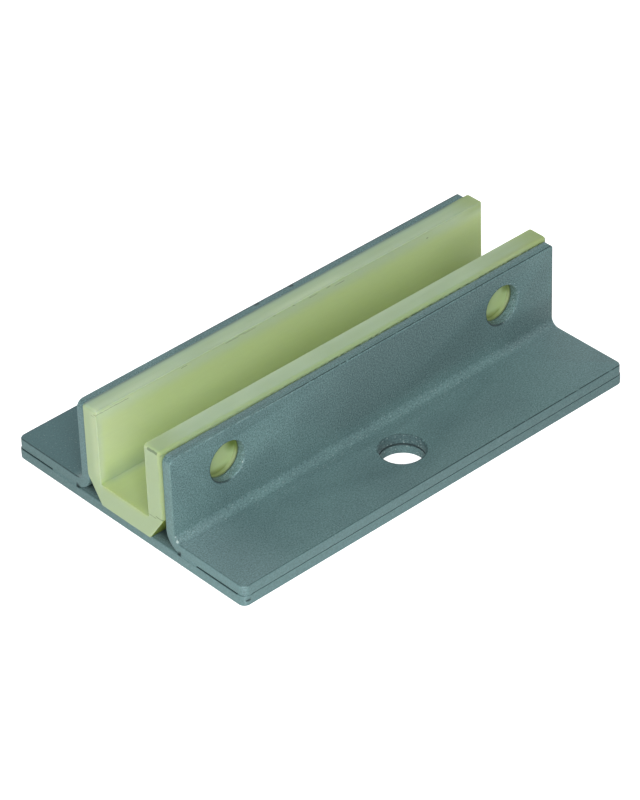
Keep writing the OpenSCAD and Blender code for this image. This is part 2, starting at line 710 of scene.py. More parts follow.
@dataclass(frozen=True)
class SteelPaint:
    """Satin blue-grey paint with a fine grain and chips, over sheet steel with dark seams, carrying painted
    light, shade and glints.
    """

    name: str = "satin_paint"
    deep: Colour = linear(95, 123, 124)
    pale: Colour = linear(103, 133, 133)
    # Painted shade: colour of the darker middle and +X foot of the wall.
    painted_shade: Colour = linear(88, 111, 112)
    # Painted shade: colour of the darker far flange.
    far: Colour = linear(78, 109, 112)
    # Cut faces: paler than the sheet, with painted light and shade, lit on the near side and -X end, shaded
    # on the far side and +X end.
    cut_pale_lit: Colour = linear(104, 133, 134)
    cut_deep_shaded: Colour = linear(91, 117, 118)
    wall_end: Colour = linear(104, 132, 131)
    far_end_shaded: Colour = linear(98, 125, 126)
    # Paler tone: painted light on the flange ends and on the top beside the liner, and bare metal with a
    # painted highlight in the wall holes.
    bare_rim_and_highlight: Colour = linear(122, 146, 149)
    # Colour of the painted glints: sparkle specks, a pale edge line and a few marks.
    painted_glint: Colour = linear(176, 196, 194)
    # Dark colour of dirt specks, seams and chips, and of painted shade lines.
    grime_and_shade: Colour = linear(30, 44, 46)
    # Painted shade in the hollow under the fold.
    under_fold_shade: Colour = linear(56, 75, 75)
    # Painted shade inside the mounting holes.
    bore_shade: Colour = linear(78, 102, 104)
    has_seam: bool = True
    roughness: Span = (0.42, 0.58)
    gloss: float = 0.2
    grain: float = 0.34 * MM
    grain_depth: float = 0.006 * MM
    grain_swing: float = 1.35
    blotch: float = 16 * MM
    # Place along the rail of the middle of that painted shade.
    middle: float = 16 * MM
    specks: tuple[float, float, float] = (0.5 * MM, 0.42, 0.35)
    chips: tuple[Mark, ...] = (
        Mark((-5.8, 15.4, 27.9), (0.5, 0.1, 0.1), 0.4),
        Mark((4.8, 15.3, 27.9), (0.4, 0.1, 0.1), 0.4),
        Mark((-58.6, -39.1, 1.6), (0.4, 0.3, 0.1), 0.3),
    )
    painted_glints: tuple[Mark, ...] = (
        Mark((-59.6, -16.9, 6.3), (0.15, 0.2, 0.5), 0.3),
        Mark((-59.4, -16.3, 7.0), (0.1, 0.1, 0.2), 0.2),
        Mark((-38.8, -16.0, 16.5), (0.15, 0.3, 0.2), 0.25),
        Mark((-39.8, -16.0, 15.7), (0.15, 0.3, 0.15), 0.2),
        Mark((45.9, -16.0, 15.4), (0.2, 0.3, 0.2), 0.25),
        Mark((47.8, -16.0, 19.8), (0.1, 0.3, 0.1), 0.2),
    )

    def end_cut(self, graph: PieceGraph) -> Socket:
        """Finds the cut faces at the ends of the sheets."""
        return graph.rise(graph.end, -0.4, -0.1, LAYOUT.bracket_end)

    def side_cut(self, graph: PieceGraph) -> Socket:
        """Finds the cut faces along the sheets."""
        return graph.rise(graph.side, -0.3, -0.1, LAYOUT.half_width)

    def tone(self, graph: PieceGraph) -> Socket:
        """Paints random blotches, and painted light and shade: darker middle, foot, far flange, bores and
        fold hollow; paler flange ends, inner top and near cut faces; hole rims paler, partly bare.

        Args:
            graph: Node tree of the paint.

        Returns:
            The colour.
        """
        blotch = graph.noise(graph.place, self.blotch, 3.0)
        colour = graph.blend(graph.ramp(blotch, 0.3, 0.7), self.deep, self.pale)
        # Painted shade: the middle of the wall, fold and flange is darker.
        middle = graph.times(
            graph.rise(graph.gap(graph.x, self.middle), 46, 14),
            graph.rise(graph.z, 0, -0.5, LAYOUT.wall_top),
            graph.span(graph.rise(graph.z, 0, 4, LAYOUT.fold_z), 0.25, 0.8),
        )
        # Painted shade on the lower wall and fold towards the +X end.
        foot = graph.times(
            graph.rise(graph.x, 36, 48), graph.rise(graph.z, 16, 11), graph.rise(graph.z, 5.2, 6.2), 0.8
        )
        # Painted light: the flange is paler towards both ends.
        ends = graph.most(
            graph.times(graph.rise(graph.x, -40, -56), 0.42), graph.times(graph.rise(graph.x, 34, 54), 0.26)
        )
        flange_ends = graph.times(ends, graph.ramp(graph.z, LAYOUT.fold_z, 2 * LAYOUT.sheet))
        # Painted shade in the hollow under the fold, full from about 3 mm in from the bracket ends.
        under_fold = graph.times(
            graph.rise(graph.from_fold(), 3.4, 4.4),
            graph.ramp(graph.side, LAYOUT.fold_y, LAYOUT.wall_face),
            graph.rise(graph.z, 0, -1, LAYOUT.fold_z),
            graph.rise(graph.z, -0.3, -0.1, LAYOUT.sheet),
            graph.rise(graph.end, 0.1, -3, LAYOUT.bracket_end),
        )
        # Painted shade inside the mounting holes, stronger in the bracket than in the plate.
        in_mount = graph.times(
            graph.rise(graph.from_mount(), 0.2, 0.05, LAYOUT.mount_radius),
            graph.span(graph.rise(graph.z, -0.5, 0.5, LAYOUT.sheet), 0.1, 0.9),
        )
        # Painted light on the steel's top beside the liner, on the near side.
        inner_top = graph.times(
            graph.ramp(graph.side, LAYOUT.wall_face - 0.9 * MM, LAYOUT.liner_face + 0.6 * MM),
            graph.rise(graph.z, -0.4, -0.1, LAYOUT.wall_top),
            graph.rise(graph.y, 0, -1),
            0.7,
        )
        # Painted shade: the flange on the far side is darker than the near one.
        far_flange = graph.times(graph.rise(graph.y, 17, 20), graph.rise(graph.z, 7, 5.5))
        # Cut faces: painted light and shade, paler on the near side and the -X end, darker on the far side
        # and the +X end.
        across = graph.blend(graph.rise(graph.y, -38, 34), self.cut_pale_lit, self.cut_deep_shaded)
        wall_ends = graph.blend(graph.rise(graph.y, 0, 1), self.wall_end, self.far_end_shaded)
        across = graph.blend(graph.ramp(graph.z, 2 * LAYOUT.sheet, LAYOUT.fold_z), across, wall_ends)
        along = graph.blend(graph.rise(graph.x, -50, 55), self.cut_pale_lit, self.cut_deep_shaded)
        patchy = graph.ramp(graph.noise(graph.place, 0.9 * MM, 2.0), 0.3, 0.6)
        # Wall hole bores paler in patches: partly bare metal, partly a painted highlight.
        rim = graph.rise(graph.from_wall_hole(), 0.3, 0.1, LAYOUT.wall_hole_radius)
        return graph.layers(
            colour,
            (middle, self.painted_shade),
            (foot, self.painted_shade),
            (flange_ends, self.bare_rim_and_highlight),
            (under_fold, self.under_fold_shade),
            (in_mount, self.bore_shade),
            (inner_top, self.bare_rim_and_highlight),
            (far_flange, self.far),
            (self.end_cut(graph), across),
            (self.side_cut(graph), along),
            (graph.times(rim, patchy, 0.4), self.bare_rim_and_highlight),
        )

    def edge_lines(self, graph: PieceGraph) -> Socket:
        """Draws dark lines: broken ones along the top edges and ends of wall and flange and round the
        mounting holes, and painted shade in the wall holes and under the fold.

        Args:
            graph: Node tree of the paint.

        Returns:
            1 on a line, 0 elsewhere.
        """
        broken = graph.streaks(0.4, 0.7 * MM, 3.0)
        dashes = graph.ramp(broken, 0.24, 0.42)
        wall_edge = graph.reach(graph.side, graph.z, (LAYOUT.wall_face - 0.28 * MM, LAYOUT.wall_top))
        wall_line = graph.times(graph.rise(wall_edge, 0.2, 0.08), graph.rise(graph.x, -40, -18), dashes)
        flange_edge = graph.reach(
            graph.side, graph.z, (LAYOUT.half_width - 0.25 * MM, 2 * LAYOUT.sheet)
        )
        flange_line = graph.times(
            graph.rise(flange_edge, 0.2, 0.08), graph.span(graph.rise(graph.x, -30, 15), 0.45, 1.0), dashes
        )
        wall_end = graph.gap(graph.x, LAYOUT.bracket_end - 0.15 * MM)
        wall_end_line = graph.times(
            graph.rise(wall_end, 0.25, 0.1), graph.rise(graph.z, 0, 1, LAYOUT.fold_z), 0.7
        )
        flange_end = graph.reach(graph.x, graph.z, (0.2 * MM - LAYOUT.bracket_end, 2 * LAYOUT.sheet))
        flange_end_line = graph.times(
            graph.rise(flange_end, 0.2, 0.08),
            graph.span(graph.ramp(graph.y, 0.0, LAYOUT.fold_y), 0.3, 0.8),
            dashes,
        )
        mount_rim = graph.gap(graph.from_mount(), LAYOUT.mount_radius + 0.25 * MM)
        mount_line = graph.times(
            graph.rise(mount_rim, 0.25, 0.1),
            graph.rise(graph.gap(graph.z, 2 * LAYOUT.sheet), 0.3, 0.15),
            graph.ramp(broken, 0.35, 0.55),
            0.6,
        )
        hole = graph.from_wall_hole()
        # Painted shade where each wall hole's bore meets the liner.
        hole_foot_line = graph.times(
            graph.rise(hole, 0.7, 0.5, LAYOUT.wall_hole_radius),
            graph.rise(graph.side, 0.5, 0.25, LAYOUT.liner_face),
            0.8,
        )
        hole_x = graph.times(graph.math("SIGN", graph.x), LAYOUT.wall_hole_x)
        # Painted shade on the -X side of each wall hole's outer rim.
        hole_rim_line = graph.times(
            graph.rise(graph.gap(hole, LAYOUT.wall_hole_radius + 0.1 * MM), 0.3, 0.12),
            graph.rise(graph.side, -0.5, -0.25, LAYOUT.wall_face),
            graph.rise(graph.math("SUBTRACT", graph.x, hole_x), 1.5, -0.5),
            0.9,
        )
        # Painted shade in the narrow gap under the foot of the fold.
        fold_foot = graph.reach(graph.side, graph.z, (LAYOUT.fold_y - 0.3 * MM, LAYOUT.sheet))
        fold_gap_shade = graph.times(
            graph.rise(fold_foot, 1.3, 0.5),
            graph.rise(graph.side, 0.2, -0.2, LAYOUT.fold_y),
            graph.rise(graph.z, -0.25, -0.05, LAYOUT.sheet),
        )
        return graph.most(
            wall_line,
            flange_line,
            wall_end_line,
            flange_end_line,
            mount_line,
            hole_foot_line,
            hole_rim_line,
            fold_gap_shade,
        )

    def seam(self, graph: PieceGraph) -> Socket:
        """Draws the dark seam between the two sheets, outside and in the mounting holes.

        Args:
            graph: Node tree of the paint.

        Returns:
            1 in the seam, 0 elsewhere.
        """
        outside = graph.most(
            graph.rise(graph.side, -0.6, -0.5, LAYOUT.half_width),
            graph.times(
                graph.rise(graph.end, -0.5, -0.4, LAYOUT.bracket_end),
                graph.rise(graph.side, 0, 0.2, LAYOUT.fold_y),
            ),
        )
        past_corner = graph.rise(graph.math("ADD", graph.x, graph.y), -97, -96.6)
        height = graph.gap(graph.z, LAYOUT.sheet)
        in_mount = graph.rise(graph.from_mount(), 0.5, 0.4, LAYOUT.mount_radius)
        return graph.most(
            graph.times(graph.rise(height, 0.13, 0.05), outside, past_corner),
            graph.times(graph.rise(height, 0.4, 0.25), in_mount),
        )

    def coarse(self, graph: PieceGraph) -> Socket:
        """Finds where the paint is coarse: in the fold and at the rims of holes.

        Args:
            graph: Node tree of the paint.

        Returns:
            1 on coarse paint, 0 elsewhere.
        """
        wall_rim = graph.gap(graph.from_wall_hole(), LAYOUT.wall_hole_radius + 0.2 * MM)
        mount_rim = graph.gap(graph.from_mount(), LAYOUT.mount_radius + 0.2 * MM)
        return graph.most(
            graph.times(graph.rise(graph.from_fold(), 4.5, 2.3), 0.4),
            graph.rise(wall_rim, 0.6, 0.3),
            graph.rise(mount_rim, 0.6, 0.3),
        )

    def edge_glint(self, graph: PieceGraph) -> Socket:
        """Finds the top edge of the walls towards the -X end, where a broken pale line is painted as a glint.

        Args:
            graph: Node tree of the paint.

        Returns:
            1 on the glinting edge, 0 elsewhere.
        """
        top_edge = (LAYOUT.wall_face - 0.2 * MM, LAYOUT.wall_top - 0.1 * MM)
        return graph.times(
            graph.rise(graph.reach(graph.side, graph.z, top_edge), 0.25, 0.1),
            graph.rise(graph.x, -8, -30),
            graph.ramp(graph.streaks(0.5, 0.5 * MM, 2.0), 0.4, 0.65),
            0.2,
        )

    def grain_share(self, graph: PieceGraph) -> Socket:
        """Finds how strong the grain is: full on the walls, weak on cut faces and the far flange.

        Args:
            graph: Node tree of the paint.

        Returns:
            1 where the grain has its full strength.
        """
        far_flange = graph.ramp(graph.y, LAYOUT.wall_face, LAYOUT.fold_y)
        smooth = graph.most(
            self.end_cut(graph),
            self.side_cut(graph),
            graph.times(far_flange, graph.rise(graph.x, 0, -30)),
        )
        on_wall = graph.rise(graph.z, -1, 2, LAYOUT.fold_z)
        return graph.times(graph.span(smooth, 1.0, 0.5), graph.span(on_wall, 0.95, 1.3))

    def dirt_and_shade(self, graph: PieceGraph, coarse: Socket, shaken: Socket) -> Socket:
        """Finds the dark parts: dirt specks, dark lines of which some are painted shade, the seam and chips.

        Args:
            graph: Node tree of the paint.
            coarse: Where the paint is coarse.
            shaken: Place with ragged outlines, for the chips.

        Returns:
            1 on dirt or painted shade, 0 elsewhere.
        """
        turned = graph.stretched(graph.place, (1.0, -1.0, 1.0))
        specks = graph.times(graph.specks(turned, *self.specks), graph.span(coarse, 0.12, 0.6))
        lines = self.edge_lines(graph)
        if self.has_seam:
            lines = graph.most(lines, self.seam(graph))
        chips = graph.times(graph.marks(shaken, self.chips), 0.8)
        return graph.most(specks, graph.times(lines, 0.85), chips)

    def material(self) -> bpy.types.Material:
        """Makes the paint.

        Returns:
            The material.
        """
        material = bpy.data.materials.new(self.name)
        graph = PieceGraph(material)
        coarse = self.coarse(graph)
        grain = graph.noise(graph.place, self.grain, 1.0)
        swing = graph.math("SUBTRACT", grain, 0.5)
        swing = graph.times(swing, self.grain_share(graph), self.grain_swing)
        tone = graph.lit(self.tone(graph), graph.math("ADD", swing, 1.0))
        shaken = graph.shaken(graph.place, 0.5 * MM, 0.3 * MM)
        # Painted glints: bright specks, a pale line on the walls' top edge and a few glint marks.
        specks = graph.times(graph.specks(graph.place, *self.specks), graph.span(coarse, 0.16, 0.7))
        bright = graph.most(specks, self.edge_glint(graph), graph.marks(shaken, self.painted_glints))
        dirt_and_shade = self.dirt_and_shade(graph, coarse, shaken)
        shader = graph.add(
            "ShaderNodeBsdfPrincipled",
            Base_Color=graph.layers(tone, (bright, self.painted_glint), (dirt_and_shade, self.grime_and_shade)),
            Roughness=graph.span(grain, *self.roughness),
            Specular_IOR_Level=self.gloss,
            Normal=graph.bump(grain, self.grain_depth),
        )
        graph.surface(shader.outputs["BSDF"], "ShaderNodeOutputMaterial")
        return material


@dataclass(frozen=True)
class LinerPlastic:
    """Pale yellow-green plastic that lets some light through, with worn and scuffed top edges, and much
    painted light and shade.
    """

    name: str = "liner_plastic"
    deep: Colour = linear(168, 190, 155)
    pale: Colour = linear(177, 199, 167)
    strip: Colour = linear(150, 175, 152)
    lip: Colour = linear(195, 212, 178)
    plus_lip: Colour = linear(189, 207, 175)
    bright: Colour = linear(188, 208, 174)
    # Channel tones, painted light and shade: inner walls, shaded middle and +X end, lit mouth and floor.
    inner: Colour = linear(193, 211, 154)
    channel_shade: Colour = linear(181, 199, 140)
    tail_shade: Colour = linear(163, 182, 124)
    mouth: Colour = linear(197, 213, 162)
    bottom: Colour = linear(180, 198, 142)
    near_tip: Colour = linear(158, 180, 126)
    sawn: Colour = linear(161, 179, 142)
    # Painted highlight on the end face beside the far side of the channel.
    sawn_highlight: Colour = linear(174, 190, 152)
    floor_rim: Colour = linear(164, 180, 126)
    # Painted shade on the downward-facing chamfers.
    chamfer_shade: Colour = linear(120, 138, 62)
    worn: Colour = linear(180, 200, 170)
    # Painted shade on the near wall's outer rounded edge beside the steel.
    skirt: Colour = linear(150, 172, 128)
    # Painted shade on the outer band of the end faces.
    skirt_end_shade: Colour = linear(148, 165, 120)
    # Painted shade in the crease between floor and walls.
    crease_shade: Colour = linear(170, 188, 148)
    # Painted shade on the far wall's rounded edges.
    far_edge_shade: Colour = linear(160, 178, 149)
    mouth_edge: Colour = linear(190, 205, 174)
    tip: Colour = linear(158, 178, 116)
    plus_top: Colour = linear(158, 176, 130)
    strip_edge: Colour = linear(100, 122, 112)
    # Recess tones, painted light and shade: bottom, wall, shaded foot and shaded +X side.
    recess: Colour = linear(184, 205, 150)
    recess_wall: Colour = linear(168, 182, 136)
    recess_foot_shade: Colour = linear(136, 152, 88)
    recess_side_shade: Colour = linear(114, 136, 62)
    # Dark colour of scuffs and lines, and of painted shade round the recesses.
    grime_and_shade: Colour = linear(58, 76, 56)
    roughness: Span = (0.42, 0.58)
    gloss: float = 0.25
    cloud: float = 20 * MM
    grain: float = 0.7 * MM
    grain_depth: float = 0.004 * MM
    light_share: float = 0.6
    light_reach: tuple[float, float, float] = (1.0, 0.9, 0.5)
    light_depth: float = 2.5 * MM
    scuffs: tuple[Mark, ...] = (
        Mark((-60.4, 9.5, 27.2), (0.3, 0.5, 0.02), 0.08),
        Mark((-60.4, 8.7, 27.8), (0.3, 0.4, 0.02), 0.08),
        Mark((-55.6, 8.2, 28.0), (4.8, 0.2, 0.02), 0.08),
        Mark((-34.3, 8.2, 28.2), (0.9, 0.2, 0.02), 0.08),
        Mark((-19.8, 8.2, 28.35), (1.9, 0.2, 0.02), 0.08),
        Mark((-17.0, 8.3, 28.55), (0.8, 0.2, 0.02), 0.08),
        Mark((-14.5, 8.2, 28.3), (1.9, 0.2, 0.02), 0.08),
        Mark((-6.7, 8.3, 28.55), (0.35, 0.2, 0.03), 0.1),
        Mark((-0.7, 8.3, 28.5), (0.3, 0.2, 0.03), 0.1),
        Mark((5.4, 8.2, 28.3), (1.2, 0.2, 0.02), 0.08),
        Mark((10.2, 8.2, 28.4), (0.5, 0.2, 0.03), 0.1),
        Mark((13.6, 8.2, 27.8), (1.5, 0.2, 0.02), 0.08),
        Mark((42.0, 8.2, 27.0), (0.2, 0.2, 0.05), 0.15),
        Mark((-60.2, -10.9, 28.3), (0.3, 1.5, 0.15), 0.25),
        Mark((-60.4, -9.5, 9.6), (0.3, 1.4, 0.03), 0.1),
        Mark((-60.4, -12.2, 10.15), (0.3, 1.3, 0.06), 0.14),
    )

    def tone(self, graph: PieceGraph) -> Socket:
        """Mixes the broad tones: clouds, worn edges, the sawn ends, and painted light and shade in the
        channel, on the chamfers and on the walls' edges.

        Args:
            graph: Node tree of the plastic.

        Returns:
            The colour.
        """
        cloud = graph.noise(graph.place, self.cloud, 3.0)
        colour = graph.blend(graph.ramp(cloud, 0.3, 0.7), self.deep, self.pale)
        channel_edge = graph.reach(graph.side, graph.z, (LAYOUT.channel_half, LAYOUT.liner_top))
        patchy = graph.ramp(graph.streaks(0.3, 2.5 * MM, 3.0), 0.25, 0.6)
        wear = graph.times(graph.rise(channel_edge, 2.4, 0.4), patchy, 0.7)
        patches = graph.times(
            graph.most(graph.rise(graph.x, -34, -46), graph.rise(graph.gap(graph.x, 5 * MM), 16, 5)),
            graph.rise(graph.y, 11.2, 9),
            graph.rise(graph.y, 0, 1),
            0.75,
        )
        inside = graph.times(
            graph.rise(graph.side, 0.3, 0.1, LAYOUT.channel_half),
            graph.rise(graph.z, -0.05, -0.3, LAYOUT.liner_top),
        )
        lip = graph.blend(graph.rise(graph.x, -50, -24), self.lip, self.plus_lip)
        below_lip = graph.rise(graph.z, -0.8, -4.6, LAYOUT.liner_top)
        # Painted shade on the near wall's outer rounded edge beside the steel.
        skirt = graph.times(graph.rise(graph.side, -1.1, -0.2, LAYOUT.liner_face), graph.rise(graph.y, 0, -1))
        near_wall = graph.ramp(graph.y, 0.0, -LAYOUT.channel_half)
        at_top = graph.rise(graph.z, 26, 28)
        plus_top = graph.times(
            graph.rise(graph.x, 28, 52), near_wall, graph.span(graph.rise(graph.side, 11.4, 12.8), 0.35, 0.9)
        )
        near_tip = graph.times(graph.rise(graph.x, -50, -58), near_wall, at_top, 0.6)
        tip = graph.times(graph.rise(graph.x, 50, 59.6), at_top, 0.75)
        # Painted shade on the chamfers under the walls.
        chamfer_shade = graph.times(graph.rise(graph.z, 10.3, 9.9), graph.rise(graph.side, 8.2, 8.4))
        return graph.layers(
            colour,
            (graph.rise(graph.y, 11, 12.6), self.strip),
            (graph.rise(graph.y, 12, 12.9), self.strip_edge),
            (wear, self.worn),
            (patches, self.bright),
            (inside, graph.blend(below_lip, lip, self.channel_tone(graph))),
            (skirt, self.skirt),
            (plus_top, self.plus_top),
            (near_tip, self.near_tip),
            (tip, self.tip),
            (chamfer_shade, self.chamfer_shade),
            (self.end_share(graph), self.end_tone(graph)),
            (self.far_edge_shading(graph), self.far_edge_shade),
        )

    def far_edge_shading(self, graph: PieceGraph) -> Socket:
        """Finds the rounded edges of the far wall, darkened as painted shade: along the channel, and round
        its near end.

        Args:
            graph: Node tree of the plastic.

        Returns:
            The share of the painted edge shade.
        """
        along = graph.reach(graph.y, graph.z, (LAYOUT.channel_half, LAYOUT.liner_top))
        upright = graph.reach(graph.x, graph.y, (-LAYOUT.liner_end, LAYOUT.channel_half))
        across = graph.reach(graph.x, graph.z, (-LAYOUT.liner_end, LAYOUT.liner_top))
        edges = [
            graph.times(graph.rise(edge, 0.7, 0.1), share)
            for edge, share in ((along, 0.5), (upright, 0.32), (across, 0.6))
        ]
        return graph.times(graph.most(*edges), graph.rise(graph.y, 0, 1))

    def channel_tone(self, graph: PieceGraph) -> Socket:
        """Mixes the tones in the channel, which are painted light and shade: a lit mouth, a shaded lower
        middle and +X end, the floor, and a shaded crease.

        Args:
            graph: Node tree of the plastic.

        Returns:
            The colour.
        """
        low = graph.rise(graph.z, -3, -10, LAYOUT.liner_top)
        # Painted light on the lower edge of the mouth.
        mouth_edge = graph.times(
            graph.rise(graph.x, -58.2, -60.2), graph.rise(graph.z, 0.3, 2, LAYOUT.channel_floor)
        )
        crease_shade = graph.times(
            graph.rise(graph.z, 6, 0, LAYOUT.channel_floor),
            graph.rise(graph.side, -2.5, 0, LAYOUT.channel_half),
            graph.span(graph.rise(graph.x, -60.2, -56.5), 0.15, 1.0),
        )
        return graph.layers(
            self.inner,
            (graph.times(low, graph.rise(graph.x, -35, 10)), self.channel_shade),
            (graph.rise(graph.z, 0.6, 0.1, LAYOUT.channel_floor), self.bottom),
            (graph.times(graph.rise(graph.x, 36, 56), graph.span(low, 0.3, 0.9)), self.tail_shade),
            (graph.times(graph.rise(graph.x, -40, -56), graph.rise(graph.z, 10, 17)), self.mouth),
            (mouth_edge, self.mouth_edge),
            (crease_shade, self.crease_shade),
        )

    def end_share(self, graph: PieceGraph) -> Socket:
        """Finds the end faces, with their round edges above the floor.

        Args:
            graph: Node tree of the plastic.

        Returns:
            1 on an end face, 0 elsewhere.
        """
        rounded = graph.times(
            graph.rise(graph.end, -1, -0.6, LAYOUT.liner_end),
            graph.rise(graph.side, 0.1, 0.3, LAYOUT.channel_half),
            graph.rise(graph.z, 9.8, 10.4),
            graph.rise(graph.z, -0.2, -0.5, LAYOUT.liner_top),
        )
        return graph.most(rounded, graph.rise(graph.end, -0.25, -0.1, LAYOUT.liner_end))

    def end_tone(self, graph: PieceGraph) -> Socket:
        """Mixes the tones of an end face: a painted highlight beside the far side of the channel, yellow
        under its floor, and painted shade on the outer band.

        Args:
            graph: Node tree of the plastic.

        Returns:
            The colour.
        """
        beside = graph.times(
            graph.rise(graph.y, 11.2, 9),
            graph.rise(graph.y, 7.9, 8.2),
            graph.rise(graph.z, -0.5, 3, LAYOUT.channel_floor),
        )
        under = graph.times(
            graph.rise(graph.z, -1.4, -0.2, LAYOUT.channel_floor),
            graph.rise(graph.side, 0, -1, LAYOUT.channel_half),
            0.7,
        )
        outer = graph.rise(graph.side, -0.9, -0.1, LAYOUT.liner_face)
        return graph.layers(
            self.sawn, (beside, self.sawn_highlight), (under, self.floor_rim), (outer, self.skirt_end_shade)
        )

    def recess_tone(self, graph: PieceGraph) -> Socket:
        """Mixes the tones of the recesses, which are painted light and shade: bottom and wall, with painted
        shade at the foot and at the +X side.

        Args:
            graph: Node tree of the plastic.

        Returns:
            The colour.
        """
        foot = graph.rise(graph.z, -3.2, -5.4, LAYOUT.wall_hole_z)
        wall = graph.rise(graph.side, -1.15, -1, LAYOUT.liner_face)
        shades = []
        for hole_x, width, share in ((-LAYOUT.wall_hole_x, 3.2, 0.9), (LAYOUT.wall_hole_x, 2, 0.6)):
            side = graph.reach(graph.x, graph.z, (hole_x + 4.9 * MM, LAYOUT.wall_hole_z + MM))
            shades.append(graph.times(graph.rise(side, width, 0.5), share))
        return graph.layers(
            self.recess,
            (foot, self.recess_foot_shade),
            (graph.times(wall, graph.span(foot, 1.0, 0.3)), self.recess_wall),
            (graph.most(*shades), self.recess_side_shade),
        )

    def dirt_and_shade(self, graph: PieceGraph) -> Socket:
        """Finds the dark parts: scuff dirt, painted shade in rings round the recesses, and a broken line at
        the foot of the rim beside the steel.

        Args:
            graph: Node tree of the plastic.

        Returns:
            1 on dirt or painted shade, 0 elsewhere.
        """
        scuffs = graph.marks(graph.shaken(graph.place, 0.9 * MM, 0.2 * MM), self.scuffs)
        foot = graph.reach(graph.side, graph.z, (LAYOUT.liner_face, LAYOUT.wall_top))
        line = graph.times(
            graph.rise(foot, 0.3, 0.15),
            graph.ramp(graph.streaks(0.4, 0.4 * MM, 3.0), 0.4, 0.56),
            graph.span(graph.rise(graph.x, -40, 0), 0.35, 0.8),
        )
        rim = graph.gap(graph.from_wall_hole(), LAYOUT.wall_hole_radius + 0.3 * MM)
        # Painted shade: a dark ring round each recess on the liner's outer face.
        ring = graph.times(
            graph.rise(rim, 0.45, 0.3), graph.rise(graph.side, -0.35, -0.15, LAYOUT.liner_face), 0.7
        )
        return graph.most(graph.times(scuffs, 0.7), line, ring)

    def material(self) -> bpy.types.Material:
        """Makes the plastic.

        Returns:
            The material.
        """
        material = bpy.data.materials.new(self.name)
        graph = PieceGraph(material)
        grain = graph.streaks(0.2, self.grain, 3.0)
        tone = graph.lit(self.tone(graph), graph.span(grain, 0.97, 1.03))
        in_recess = graph.times(
            graph.rise(graph.from_wall_hole(), 0.2, 0, LAYOUT.wall_hole_radius),
            graph.rise(graph.side, -1.6, -1.4, LAYOUT.liner_face),
        )
        dirt_and_shade = graph.times(self.dirt_and_shade(graph), 0.8)
        shader = graph.add(
            "ShaderNodeBsdfPrincipled",
            Base_Color=graph.layers(tone, (in_recess, self.recess_tone(graph)), (dirt_and_shade, self.grime_and_shade)),
            Roughness=graph.span(grain, *self.roughness),
            Specular_IOR_Level=self.gloss,
            Subsurface_Weight=self.light_share,
            Subsurface_Radius=self.light_reach,
            Subsurface_Scale=self.light_depth,
            Normal=graph.bump(grain, self.grain_depth),
        )
        graph.surface(shader.outputs["BSDF"], "ShaderNodeOutputMaterial")
        return material


def dress(piece: bpy.types.Object, material: bpy.types.Material, node: str) -> None:
    """Gives a finished piece its material and its place in the frame.

    Args:
        piece: Finished piece.
        material: Its surface.
        node: CAD node that the piece stands for.
    """
    piece.data.materials.clear()
    piece.data.materials.append(material)
    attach(piece, BODY)
    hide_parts(node)
    log.info("%s: %d faces", piece.name, len(piece.data.polygons))


@dataclass
class BasePlate:
    """Sheet steel plate that carries the brackets and the liner."""

    node: str = "base_plate"
    corner_radius: float = 1.8 * MM
    edge_radius: float = 0.3 * MM

    def build(self, paint: bpy.types.Material) -> bpy.types.Object:
        """Makes the plate.

        Args:
            paint: Paint of the plate.

        Returns:
            The plate.
        """
        low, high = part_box(self.node)
        plate = Bench.block("plate", low, high)
        Bench.round_edges(
            plate, lambda a, b: near(a.x, b.x) and near(a.y, b.y), self.corner_radius, CORNER_STEPS
        )
        Bench.split(plate, Vector(), ALONG, lambda centre, normal: abs(normal.z) > FACING)
        for side in (-1, 1):
            centre = Vector((0, side * LAYOUT.mount_y, high.z / 2))
            Bench.cut(plate, Bench.rod(centre, LAYOUT.mount_radius, 3 * high.z, Axis.Z))
        Bench.ease(plate, self.edge_radius)
        Bench.finish(plate)
        dress(plate, paint, self.node)
        return plate


